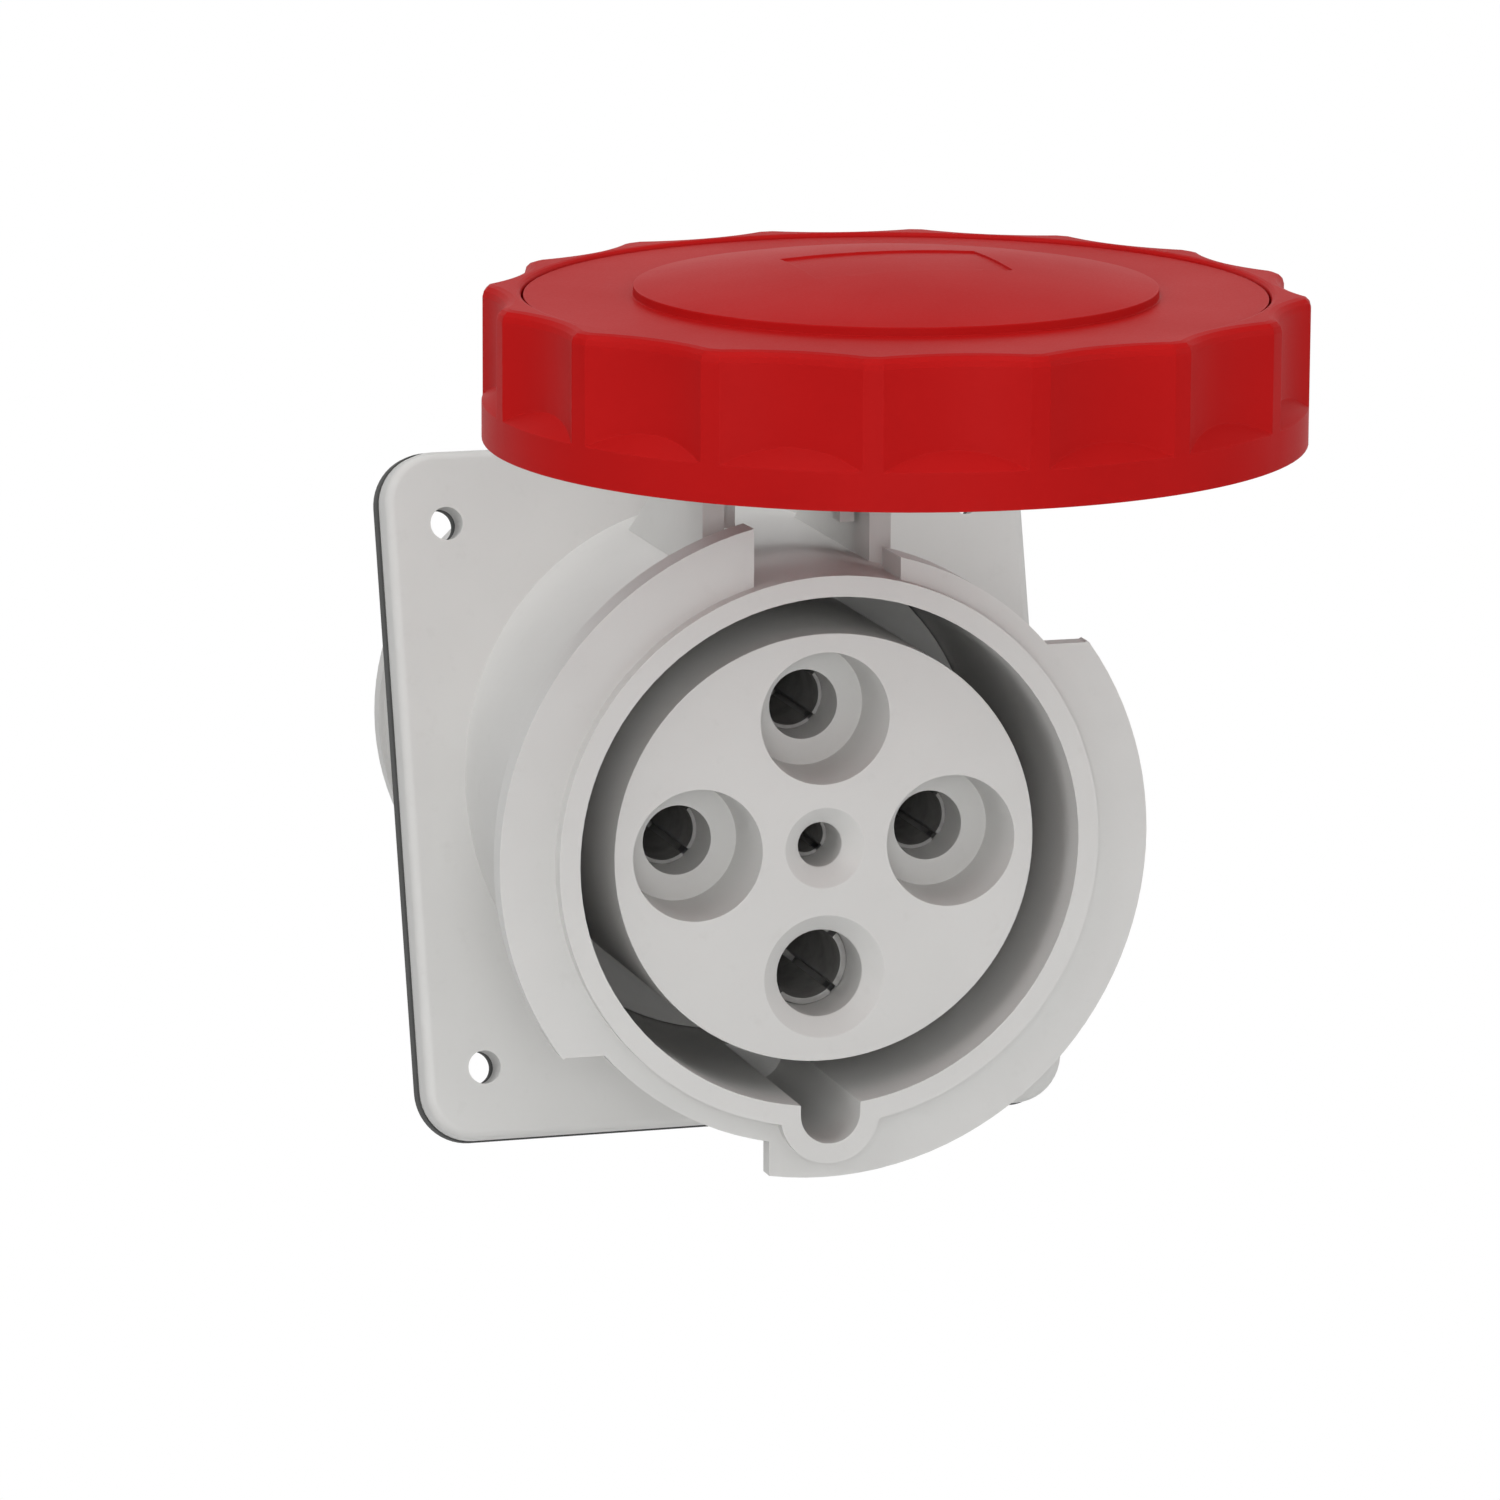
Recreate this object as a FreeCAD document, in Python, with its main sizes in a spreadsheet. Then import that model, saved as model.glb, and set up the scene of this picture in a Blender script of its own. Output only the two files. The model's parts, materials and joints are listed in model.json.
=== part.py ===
import FreeCAD, Part
import math
import os
import re
import PartDesign
import Sketcher
from FreeCAD import Placement, Rotation, Vector

os.makedirs("parts", exist_ok=True)
doc = FreeCAD.newDocument("panel_socket")

# Driving sizes, in millimetres and degrees.
sizes = {
    # the flange and its gasket
    "axis_tilt": 15,  # the barrel points this far below the panel's normal
    "flange_width": 110,
    "flange_height": 114,
    "flange_thick": 5.5,
    "flange_corner": 8.5,
    "flange_round": 1.6,
    "bolt_pitch_x": 90,
    "bolt_pitch_z": 90,
    "bolt_hole_radius": 2.75,
    "gasket_thick": 3,
    "gasket_overhang": 0.3,
    "gasket_clearance": 2,
    # the barrel, in front of and behind the flange
    "barrel_reach": 59.5,  # ring front to flange front, along the axis
    "barrel_radius": 45,
    "bore_radius": 41.6,
    "rear_radius": 42,
    "rear_wall": 2.6,
    "rear_length": 71,
    "rear_rim_radius": 43,
    "rear_rim_length": 3.4,
    "ledge_depth": 60,
    "ledge_thick": 6,
    # the bayonet collar and its two wings
    "collar_front": 2.7,
    "collar_length": 10.1,
    "collar_radius": 48.5,
    "wing_radius": 54.1,
    "wing_thick": 3.3,
    "wing_step_height": 31.5,
    "wing_end_width": 9.5,
    "notch_width": 24.4,
    "ramp_rise": 2.8,
    "ramp_start": 216,
    "ramp_sweep": 113,
    "ramp_inset": 0.1,
    # the keyway at six o'clock
    "key_radius": 5,
    "key_centre": 42.9,
    "key_wall": 3.3,
    "key_depth": 44,
    # the hinge
    "hinge_depth": 25.75,
    "hinge_height": 58.25,
    "hinge_boss_radius": 6,
    "cheek_thick": 3.6,
    "cheek_slope": 31,
    "pin_radius": 2.5,
    "pin_seat_play": 0.02,
    "pin_running_play": 0.08,
    "pin_head_radius": 3.8,
    "pin_head_thick": 1.4,
    "pin_end_length": 2.4,
    "clip_thick": 0.8,
    "clip_radius": 4,
    "clip_groove_depth": 0.6,
    # the contact carrier and what holds it
    "carrier_recess": 3.6,
    "carrier_radius": 35,
    "carrier_base_thick": 4,
    "carrier_base_play": 0.2,
    "carrier_tail_play": 0.25,
    "carrier_length": 84.4,
    "tail_radius": 36.4,
    "carrier_seal_thick": 1.5,
    "carrier_screw_circle": 38.6,
    "carrier_screw_radius": 1.5,
    "carrier_screw_head_radius": 2.6,
    "carrier_screw_head_height": 2,
    "carrier_screw_length": 9,
    "screw_play": 0.05,
    "head_slot": 0.9,
    "retainer_thick": 4,
    "retainer_screw_circle": 29,
    "retainer_screw_radius": 1.5,
    "retainer_screw_length": 14,
    # the contacts
    "pin_circle": 21.15,
    "phase_recess_radius": 10.75,
    "phase_recess_taper": 0.8,
    "phase_recess_depth": 12.4,
    "phase_hole_radius": 5.7,
    "phase_pin_radius": 5,
    "earth_mouth_radius": 10.1,
    "earth_hole_radius": 7.15,
    "earth_pin_radius": 6,
    "pilot_mouth_radius": 6.6,
    "pilot_hole_radius": 3.65,
    "pilot_pin_radius": 3,
    "contact_lip": 9.1,
    "contact_wall": 2.2,
    "contact_play": 0.1,
    "nose_length": 1,
    "nose_play": 0.1,
    "sleeve_length": 34,
    "slot_width": 1.2,
    "slot_length": 26,
    "spring_thick": 0.8,
    "spring_play": 0.03,
    "spring_width": 2.4,
    "spring_setback": 4,
    "spring_gap": 1.5,
    "shoulder_height": 1.6,
    "shoulder_thick": 3,
    "terminal_length": 24,
    "terminal_radius": 8.2,
    "pilot_terminal_radius": 4.6,
    "wire_radius": 5.2,
    "pilot_wire_radius": 2,
    "wire_depth": 20,
    "clamp_radius": 3,
    "clamp_reach": 0.5,
    "clamp_length": 7.5,
    "clamp_slot": 1,
    "clamp_setback": 5.5,
    "clamp_pitch": 9,
    "pilot_clamp_radius": 1.5,
    "pilot_clamp_length": 5,
    # the lid: its rim lies this far behind the barrel's front when it is shut
    "rim_depth": 10.73,
    "lid_opening": 89.4,
    "ring_radius": 63.8,
    "ring_height": 22.93,
    "ring_band": 5.9,
    "ring_top_round": 1.75,
    "ring_lip_round": 0.9,
    "ring_wall": 4.3,
    "ring_lip_step": 1.8,
    "ring_lip_thick": 3.4,
    "ring_mouth_step": 1.9,
    "scallop_count": 16,
    "scallop_radius": 30,
    "scallop_depth": 3,
    "scallop_foot": 2.85,
    "scallop_turn": 13.5,
    "lug_inner_radius": 50.5,
    "lug_thick": 3.03,
    "lug_start": 46,
    "lug_sweep": 30,
    "cap_play": 0.3,
    "cap_top_drop": 0.6,
    "cap_top_thick": 4,
    "cap_skirt_wall": 2.6,
    "cap_skirt_end": 8.63,
    "dome_radius": 40.5,
    "dome_step": 1.4,
    "dome_rise": 4,
    "field_width": 31.4,
    "field_height": 19.6,
    "field_depth": 0.4,
    "ring_clip_thick": 1.4,
    "ring_clip_play": 0.1,
    "ring_clip_reach": 1,
    "ring_clip_seat": 0.9,
    "seal_inner_radius": 40.5,
    "seal_outer_radius": 48.5,
    "seal_thick": 3.2,
    "seal_gap": 0.3,
    "seal_rib": 1.3,
    "seal_play": 0.1,
    # the arm between the hinge and the cap
    "arm_width": 22.6,
    "fork_thick": 2.5,
    "arm_hub_radius": 5.2,
    "strap_height": 50.6,
    "strap_thick": 4,
    "tail_length": 9.35,
    "tail_thick": 4.2,
    "tail_drop": 0.75,
    "foot_width": 37,
    "foot_thick": 2.8,
    "foot_play": 0.3,
    "arm_screw_spread": 30,
    "arm_screw_radius": 1.25,
    "arm_screw_head_radius": 2.4,
    "arm_screw_head_height": 1.8,
    "arm_screw_length": 4.8,
}
sheet = doc.addObject("Spreadsheet::Sheet", "Sizes")
for row, (alias, value) in enumerate(sizes.items(), 1):
    sheet.set("A%d" % row, alias)
    sheet.set("B%d" % row, str(value))
    sheet.setAlias("B%d" % row, alias)
doc.recompute()


# An expression in the sheet's aliases, ready to bind to a property.
def bound(expression):
    return re.sub(r"\b([a-z]+(?:_[a-z]+)+)\b", r"Sizes.\1", expression)


# The same expression as a number, for a sketch's first guess.
def number(expression):
    result = sheet.evalExpression(expression)
    return float(getattr(result, "Value", result))


# A body in the socket's frame: Y runs along the barrel's axis from its front
# edge towards the panel, and Z is up, square to the axis.
def socket_body(label, x="0", y="0", z="0"):
    body = doc.addObject("PartDesign::Body", label)
    body.Label = label
    body.Placement = Placement(Vector(), Rotation(Vector(1, 0, 0), number("axis_tilt")))
    body.setExpression("Placement.Rotation.Angle", bound("axis_tilt"))
    front = "-gasket_thick - flange_thick - barrel_reach * cos(axis_tilt)"
    low = "-barrel_reach * sin(axis_tilt)"
    body.setExpression("Placement.Base.x", bound(x))
    body.setExpression(
        "Placement.Base.y",
        bound("%s + (%s) * cos(axis_tilt) - (%s) * sin(axis_tilt)" % (front, y, z)),
    )
    body.setExpression(
        "Placement.Base.z",
        bound("%s + (%s) * sin(axis_tilt) + (%s) * cos(axis_tilt)" % (low, y, z)),
    )
    return body


# A body in the lid's frame: the origin is on the lid's axis in its rim plane,
# -Y points out through the cap and +Z towards the hinge.
def lid_body(label):
    swing_y = "hinge_depth + (rim_depth - hinge_depth) * cos(lid_opening)"
    swing_z = "hinge_height - (rim_depth - hinge_depth) * sin(lid_opening)"
    body = socket_body(
        label,
        y=swing_y + " - hinge_height * sin(lid_opening)",
        z=swing_z + " - hinge_height * cos(lid_opening)",
    )
    body.Placement = Placement(Vector(), Rotation(Vector(-1, 0, 0), number("lid_opening - axis_tilt")))
    body.setExpression("Placement.Rotation.Angle", bound("lid_opening - axis_tilt"))
    return body


# A sketch on one of the body's own planes, moved along its normal. The XZ
# plane's normal points to -Y, so its distance is turned round here.
def sketch(body, role, at="0", tilt=None, turn=None):
    plane = next(f for f in body.Origin.OriginFeatures if f.Role == role)
    outline = body.newObject("Sketcher::SketchObject", body.Name + "_sketch")
    outline.AttachmentSupport = (plane, [""])
    outline.MapMode = "FlatFace"
    if tilt:
        outline.AttachmentOffset = Placement(Vector(), Rotation(Vector(-1, 0, 0), number(tilt)))
        outline.setExpression("AttachmentOffset.Rotation.Angle", bound(tilt))
    if turn:
        outline.AttachmentOffset = Placement(Vector(), Rotation(Vector(0, 0, 1), number(turn)))
        outline.setExpression("AttachmentOffset.Rotation.Angle", bound(turn))
    away = "-(%s)" % at if role == "XZ_Plane" else at
    outline.setExpression("AttachmentOffset.Base.z", bound(away))
    return outline


def hold(outline, kind, geometry, vertex, expression):
    if kind == "Radius":
        rule = Sketcher.Constraint(kind, geometry, number(expression))
    else:
        rule = Sketcher.Constraint(kind, -1, 1, geometry, vertex, number(expression))
    index = outline.addConstraint(rule)
    outline.setExpression("Constraints[%d]" % index, bound(expression))


def circle(outline, radius, x="0", y="0"):
    centre = Vector(number(x), number(y), 0)
    ring = outline.addGeometry(Part.Circle(centre, Vector(0, 0, 1), number(radius)), False)
    hold(outline, "DistanceX", ring, 3, x)
    hold(outline, "DistanceY", ring, 3, y)
    hold(outline, "Radius", ring, 0, radius)


def polygon(outline, corners):
    spots = [Vector(number(x), number(y), 0) for x, y in corners]
    first = outline.GeometryCount
    for here, there in zip(spots, spots[1:] + spots[:1]):
        outline.addGeometry(Part.LineSegment(here, there), False)
    for i in range(len(corners)):
        after = first + (i + 1) % len(corners)
        outline.addConstraint(Sketcher.Constraint("Coincident", first + i, 2, after, 1))
    for i, (x, y) in enumerate(corners):
        hold(outline, "DistanceX", first + i, 1, x)
        hold(outline, "DistanceY", first + i, 1, y)


def rectangle(outline, x0, y0, x1, y1):
    polygon(outline, [(x0, y0), (x1, y0), (x1, y1), (x0, y1)])


# A straight line that only carries the axis of a revolved cut.
def axis_line(outline, height):
    line = outline.addGeometry(
        Part.LineSegment(Vector(0, number(height), 0), Vector(10, number(height), 0)), True
    )
    hold(outline, "DistanceX", line, 1, "0")
    hold(outline, "DistanceY", line, 1, height)
    outline.addConstraint(Sketcher.Constraint("Horizontal", line))
    outline.addConstraint(Sketcher.Constraint("DistanceX", line, 1, line, 2, 10))
    return (outline, ["Axis0"])


# Pads and pockets go towards the panel from an XZ sketch, and towards +X
# from a YZ sketch, unless they are sent back.
def pad(body, outline, length, back=False):
    feature = body.newObject("PartDesign::Pad", body.Name + "_pad")
    feature.Profile = outline
    feature.setExpression("Length", bound(length))
    on_xz = outline.AttachmentSupport[0][0].Role == "XZ_Plane"
    feature.Reversed = on_xz != back
    return feature


def pocket(body, outline, length, back=False):
    feature = body.newObject("PartDesign::Pocket", body.Name + "_pocket")
    feature.Profile = outline
    feature.setExpression("Length", bound(length))
    on_xz = outline.AttachmentSupport[0][0].Role == "XZ_Plane"
    feature.Reversed = on_xz == back
    return feature


def revolve(body, outline, axis=None):
    feature = body.newObject("PartDesign::Revolution", body.Name + "_turned")
    feature.Profile = outline
    feature.ReferenceAxis = axis or (outline, ["H_Axis"])
    feature.Angle = 360
    return feature


def groove(body, outline, axis=None):
    feature = body.newObject("PartDesign::Groove", body.Name + "_groove")
    feature.Profile = outline
    feature.ReferenceAxis = axis or (outline, ["H_Axis"])
    feature.Angle = 360
    return feature


def around_axis(body, originals, count):
    pattern = body.newObject("PartDesign::PolarPattern", body.Name + "_pattern")
    pattern.Originals = originals
    pattern.Axis = (next(f for f in body.Origin.OriginFeatures if f.Role == "Y_Axis"), [""])
    pattern.Angle = 360
    pattern.setExpression("Occurrences", bound(count))
    body.Tip = pattern
    return pattern


# The housing, one moulding. First the bayonet plate, cut back to two wings.
housing = socket_body("housing")
plate = sketch(housing, "XZ_Plane", "collar_front")
circle(plate, "wing_radius")
pad(housing, plate, "wing_thick")
for x0, x1, z0, z1 in (
    ("0", "wing_radius + wing_thick", "wing_step_height", "wing_radius + wing_thick"),
    (
        "-wing_radius - wing_thick",
        "-wing_end_width",
        "-wing_radius - wing_thick",
        "-wing_step_height",
    ),
):
    entry = sketch(housing, "XZ_Plane", "collar_front")
    rectangle(entry, x0, z0, x1, z1)
    pocket(housing, entry, "wing_thick")

# The lugs of a lid or plug ride up this pair of helical ramps behind the wings.
ramp_section = sketch(housing, "YZ_Plane", tilt="ramp_start - 90")
rectangle(
    ramp_section,
    "collar_front + ramp_inset",
    "barrel_radius",
    "collar_front + wing_thick",
    "wing_radius - ramp_inset",
)
ramp = housing.newObject("PartDesign::AdditiveHelix", "wing_ramp")
ramp.Profile = ramp_section
ramp.ReferenceAxis = (ramp_section, ["H_Axis"])
ramp.Mode = "pitch-height-angle"
ramp.Angle = 0
ramp.setExpression("Pitch", bound("ramp_rise * 360 / ramp_sweep"))
ramp.setExpression("Height", bound("ramp_rise"))
doc.recompute()
ramps = housing.newObject("PartDesign::PolarPattern", "wing_ramps")
ramps.Originals = [ramp]
ramps.Axis = (next(f for f in housing.Origin.OriginFeatures if f.Role == "Y_Axis"), [""])
ramps.Angle = 360
ramps.Occurrences = 2
housing.Tip = ramps

collar = sketch(housing, "XZ_Plane", "collar_front")
circle(collar, "collar_radius")
pad(housing, collar, "collar_length")
notch = sketch(housing, "XZ_Plane", "collar_front")
rectangle(notch, "-notch_width / 2", "0", "notch_width / 2", "wing_radius + wing_thick")
pocket(housing, notch, "collar_length")

# The barrel runs through the flange's slope, and is trimmed at its back face.
barrel = sketch(housing, "XZ_Plane")
circle(barrel, "barrel_radius")
pad(housing, barrel, "barrel_reach + barrel_radius * tan(axis_tilt) + flange_thick")
key_bump = sketch(housing, "XZ_Plane")
circle(key_bump, "key_radius + key_wall", y="-key_centre")
pad(housing, key_bump, "barrel_reach - key_centre * tan(axis_tilt) + flange_thick / 3")
trim = sketch(housing, "XZ_Plane", "barrel_reach", tilt="axis_tilt")
trim.setExpression("AttachmentOffset.Base.z", bound("-barrel_reach - flange_thick / cos(axis_tilt)"))
circle(trim, "flange_height")
pocket(housing, trim, "flange_height")
flange = sketch(housing, "XZ_Plane", "barrel_reach", tilt="axis_tilt")
rectangle(
    flange,
    "-flange_width / 2",
    "-flange_height / 2",
    "flange_width / 2",
    "flange_height / 2",
)
pad(housing, flange, "flange_thick")
doc.recompute()


# The names of a shape's edges that pass a test.
def edges_where(feature, test):
    return ["Edge%d" % i for i, edge in enumerate(feature.Shape.Edges, 1) if test(edge)]


def fillet(body, base, names, radius):
    feature = body.newObject("PartDesign::Fillet", body.Name + "_fillet")
    feature.Base = (base, names)
    feature.setExpression("Radius", bound(radius))
    doc.recompute()
    return feature


# Where a point lies on the flange: across, up, and back from its front face.
def on_flange(point):
    tilt = math.radians(number("axis_tilt"))
    along = point.y - number("barrel_reach")
    return (
        point.x,
        point.z * math.cos(tilt) + along * math.sin(tilt),
        along * math.cos(tilt) - point.z * math.sin(tilt),
    )


def is_flange_corner(edge):
    across, up, back = on_flange(edge.CenterOfMass)
    return (
        abs(abs(across) - number("flange_width / 2")) < 0.01
        and abs(abs(up) - number("flange_height / 2")) < 0.01
    )


def is_flange_front_edge(edge):
    across, up, back = on_flange(edge.CenterOfMass)
    outside = abs(across) > number("flange_width / 2 - flange_corner")
    outside = outside or abs(up) > number("flange_height / 2 - flange_corner")
    return abs(back) < 0.01 and outside


corners = fillet(housing, housing.Tip, edges_where(housing.Tip, is_flange_corner), "flange_corner")
fillet(housing, corners, edges_where(corners, is_flange_front_edge), "flange_round")
bolt_holes = sketch(housing, "XZ_Plane", "barrel_reach", tilt="axis_tilt")
for x in ("-bolt_pitch_x / 2", "bolt_pitch_x / 2"):
    for z in ("-bolt_pitch_z / 2", "bolt_pitch_z / 2"):
        circle(bolt_holes, "bolt_hole_radius", x, z)
pocket(housing, bolt_holes, "flange_thick + 1")

# Behind the panel: a plain barrel that ends in a rim.
rear = sketch(housing, "XZ_Plane", "collar_front + collar_length")
circle(rear, "rear_radius")
pad(housing, rear, "barrel_reach + rear_length - collar_front - collar_length")
rear_rim = sketch(housing, "XZ_Plane", "barrel_reach + rear_length - rear_rim_length")
circle(rear_rim, "rear_rim_radius")
pad(housing, rear_rim, "rear_rim_length")

# The hinge cheeks: a boss round the pin, and a gusset down to the barrel.
cheek_foot = "(bore_radius * 0.3 + barrel_radius * 0.7 - cheek_thick / 2)"
for x, back in (("notch_width / 2", False), ("-notch_width / 2", True)):
    boss = sketch(housing, "YZ_Plane", x)
    circle(boss, "hinge_boss_radius", "hinge_depth", "hinge_height")
    pad(housing, boss, "cheek_thick", back)
    top_y = "hinge_depth + hinge_boss_radius * sin(cheek_slope)"
    top_z = "hinge_height + hinge_boss_radius * cos(cheek_slope)"
    cheek = sketch(housing, "YZ_Plane", x)
    polygon(
        cheek,
        [
            ("hinge_depth - hinge_boss_radius", cheek_foot),
            ("hinge_depth - hinge_boss_radius", "hinge_height"),
            (top_y, top_z),
            ("%s + (%s - %s) / tan(cheek_slope)" % (top_y, top_z, cheek_foot), cheek_foot),
        ],
    )
    pad(housing, cheek, "cheek_thick", back)
pin_hole = sketch(housing, "YZ_Plane", "-notch_width / 2 - cheek_thick - 1")
circle(pin_hole, "pin_radius + pin_seat_play", "hinge_depth", "hinge_height")
pocket(housing, pin_hole, "notch_width + 2 * cheek_thick + 2")

# Inside: the plug's bore, the ledge that carries the contacts, the rear bore.
bore = sketch(housing, "YZ_Plane")
rear_end = "barrel_reach + rear_length + 1"
polygon(
    bore,
    [
        ("-1", "0"),
        ("-1", "bore_radius"),
        ("ledge_depth", "bore_radius"),
        ("ledge_depth", "tail_radius + carrier_tail_play"),
        ("ledge_depth + ledge_thick", "tail_radius + carrier_tail_play"),
        ("ledge_depth + ledge_thick", "rear_radius - rear_wall"),
        (rear_end, "rear_radius - rear_wall"),
        (rear_end, "0"),
    ],
)
groove(housing, bore)
keyway = sketch(housing, "XZ_Plane")
circle(keyway, "key_radius", y="-key_centre")
pocket(housing, keyway, "key_depth")
key_mouth = sketch(housing, "XZ_Plane")
rectangle(key_mouth, "-key_radius", "-key_centre", "key_radius", "-key_centre + 2 * key_radius")
pocket(housing, key_mouth, "key_depth")


def screw_places(outline, radius, ring, count, first):
    for i in range(count):
        angle = "(%s + %d)" % (first, i * 360 // count)
        circle(outline, radius, "%s * cos%s" % (ring, angle), "%s * sin%s" % (ring, angle))


carrier_threads = sketch(housing, "XZ_Plane", "ledge_depth")
screw_places(carrier_threads, "carrier_screw_radius + screw_play", "carrier_screw_circle", 4, "0")
pocket(housing, carrier_threads, "ledge_thick")

# The gasket between the flange and the panel, with room for the rear barrel,
# which leans upwards as it goes back.
gasket = doc.addObject("PartDesign::Body", "panel_gasket")
gasket.Label = "panel_gasket"
gasket.setExpression("Placement.Base.y", bound("-gasket_thick"))
gasket_edge = sketch(gasket, "XZ_Plane")
rectangle(
    gasket_edge,
    "-flange_width / 2 - gasket_overhang",
    "-flange_height / 2 - gasket_overhang",
    "flange_width / 2 + gasket_overhang",
    "flange_height / 2 + gasket_overhang",
)
gasket_pad = pad(gasket, gasket_edge, "gasket_thick")
doc.recompute()
upright = edges_where(gasket_pad, lambda edge: abs(edge.tangentAt(0).y) > 0.9)
fillet(gasket, gasket_pad, upright, "flange_corner + gasket_overhang")
gasket_hole = sketch(gasket, "XZ_Plane")
lean = "(flange_thick + gasket_thick / 2) * tan(axis_tilt)"
circle(gasket_hole, "rear_radius / cos(axis_tilt) + gasket_clearance", y=lean)
for x in ("-bolt_pitch_x / 2", "bolt_pitch_x / 2"):
    for z in ("-bolt_pitch_z / 2", "bolt_pitch_z / 2"):
        circle(gasket_hole, "bolt_hole_radius", x, z)
pocket(gasket, gasket_hole, "gasket_thick")

# The contacts. Each kind has its pin, its mouth in the carrier and its clamps.
phase = dict(
    pin="phase_pin_radius",
    hole="phase_hole_radius",
    mouth="phase_recess_radius",
    floor="phase_recess_radius - phase_recess_taper",
    depth="phase_recess_depth",
    terminal="terminal_radius",
    wire="wire_radius",
    clamp="clamp_radius",
    clamps=("clamp_setback", "clamp_setback + clamp_pitch"),
)
earth = dict(
    pin="earth_pin_radius",
    hole="earth_hole_radius",
    mouth="earth_mouth_radius",
    floor="earth_hole_radius",
    depth="(earth_mouth_radius - earth_hole_radius)",
    terminal="terminal_radius",
    wire="wire_radius",
    clamp="clamp_radius",
    clamps=("clamp_setback", "clamp_setback + clamp_pitch"),
)
pilot = dict(
    pin="pilot_pin_radius",
    hole="pilot_hole_radius",
    mouth="pilot_mouth_radius",
    floor="pilot_hole_radius",
    depth="(pilot_mouth_radius - pilot_hole_radius)",
    terminal="pilot_terminal_radius",
    wire="pilot_wire_radius",
    clamp="pilot_clamp_radius",
    clamps=("clamp_setback",),
)
contacts = {
    "phase_contact_left": (phase, "-pin_circle", "0", "90"),
    "phase_contact_top": (phase, "0", "pin_circle", "0"),
    "phase_contact_right": (phase, "pin_circle", "0", "270"),
    "earth_contact": (earth, "0", "-pin_circle", "180"),
    "pilot_contact": (pilot, "0", "0", "315"),
}


def sleeve_front(kind):
    return "(carrier_recess + %s + contact_lip + contact_play)" % kind["depth"]


def chamber(kind):
    return "%s + contact_wall + spring_thick" % kind["pin"]


# The carrier: a face block, a base that sits on the ledge, and a tail behind.
base_front = "(ledge_depth - carrier_seal_thick - carrier_base_thick)"
carrier_end = "(carrier_recess + carrier_length)"
carrier = socket_body("contact_carrier")
block = sketch(carrier, "YZ_Plane")
polygon(
    block,
    [
        ("carrier_recess", "0"),
        ("carrier_recess", "carrier_radius"),
        (base_front, "carrier_radius"),
        (base_front, "bore_radius - carrier_base_play"),
        (base_front + " + carrier_base_thick", "bore_radius - carrier_base_play"),
        (base_front + " + carrier_base_thick", "tail_radius"),
        (carrier_end, "tail_radius"),
        (carrier_end, "0"),
    ],
)
revolve(carrier, block)
for kind, x, z, turn in contacts.values():
    opening = sketch(carrier, "YZ_Plane", x)
    recess_floor = "carrier_recess + %s" % kind["depth"]
    shoulder = "%s + shoulder_height" % chamber(kind)
    outline = [
        ("carrier_recess", z),
        ("carrier_recess", "%s + %s" % (z, kind["mouth"])),
        (recess_floor, "%s + %s" % (z, kind["floor"])),
    ]
    if kind is phase:
        outline.append((recess_floor, "%s + %s" % (z, kind["hole"])))
    outline += [
        (recess_floor + " + contact_lip", "%s + %s" % (z, kind["hole"])),
        (recess_floor + " + contact_lip", "%s + %s" % (z, chamber(kind))),
        (carrier_end + " - shoulder_thick", "%s + %s" % (z, chamber(kind))),
        (carrier_end + " - shoulder_thick", "%s + %s" % (z, shoulder)),
        (carrier_end, "%s + %s" % (z, shoulder)),
        (carrier_end, z),
    ]
    polygon(opening, outline)
    groove(carrier, opening, axis_line(opening, z))
carrier_holes = sketch(carrier, "XZ_Plane", base_front)
screw_places(carrier_holes, "carrier_screw_radius + screw_play", "carrier_screw_circle", 4, "0")
pocket(carrier, carrier_holes, "carrier_base_thick")
tail_threads = sketch(carrier, "XZ_Plane", carrier_end)
screw_places(tail_threads, "retainer_screw_radius + screw_play", "retainer_screw_circle", 4, "45")
pocket(carrier, tail_threads, "retainer_screw_length - retainer_thick", back=True)

carrier_seal = socket_body("carrier_seal")
seal_ring = sketch(carrier_seal, "XZ_Plane", "ledge_depth - carrier_seal_thick")
circle(seal_ring, "bore_radius - carrier_base_play")
circle(seal_ring, "tail_radius + carrier_tail_play")
pad(carrier_seal, seal_ring, "carrier_seal_thick")
seal_holes = sketch(carrier_seal, "XZ_Plane", "ledge_depth - carrier_seal_thick")
screw_places(seal_holes, "carrier_screw_radius + screw_play", "carrier_screw_circle", 4, "0")
pocket(carrier_seal, seal_holes, "carrier_seal_thick")

retainer = socket_body("contact_retainer")
retainer_disc = sketch(retainer, "XZ_Plane", carrier_end)
circle(retainer_disc, "tail_radius")
for kind, x, z, turn in contacts.values():
    circle(retainer_disc, "%s + contact_play" % kind["terminal"], x, z)
screw_places(retainer_disc, "retainer_screw_radius + screw_play", "retainer_screw_circle", 4, "45")
pad(retainer, retainer_disc, "retainer_thick")


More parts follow.
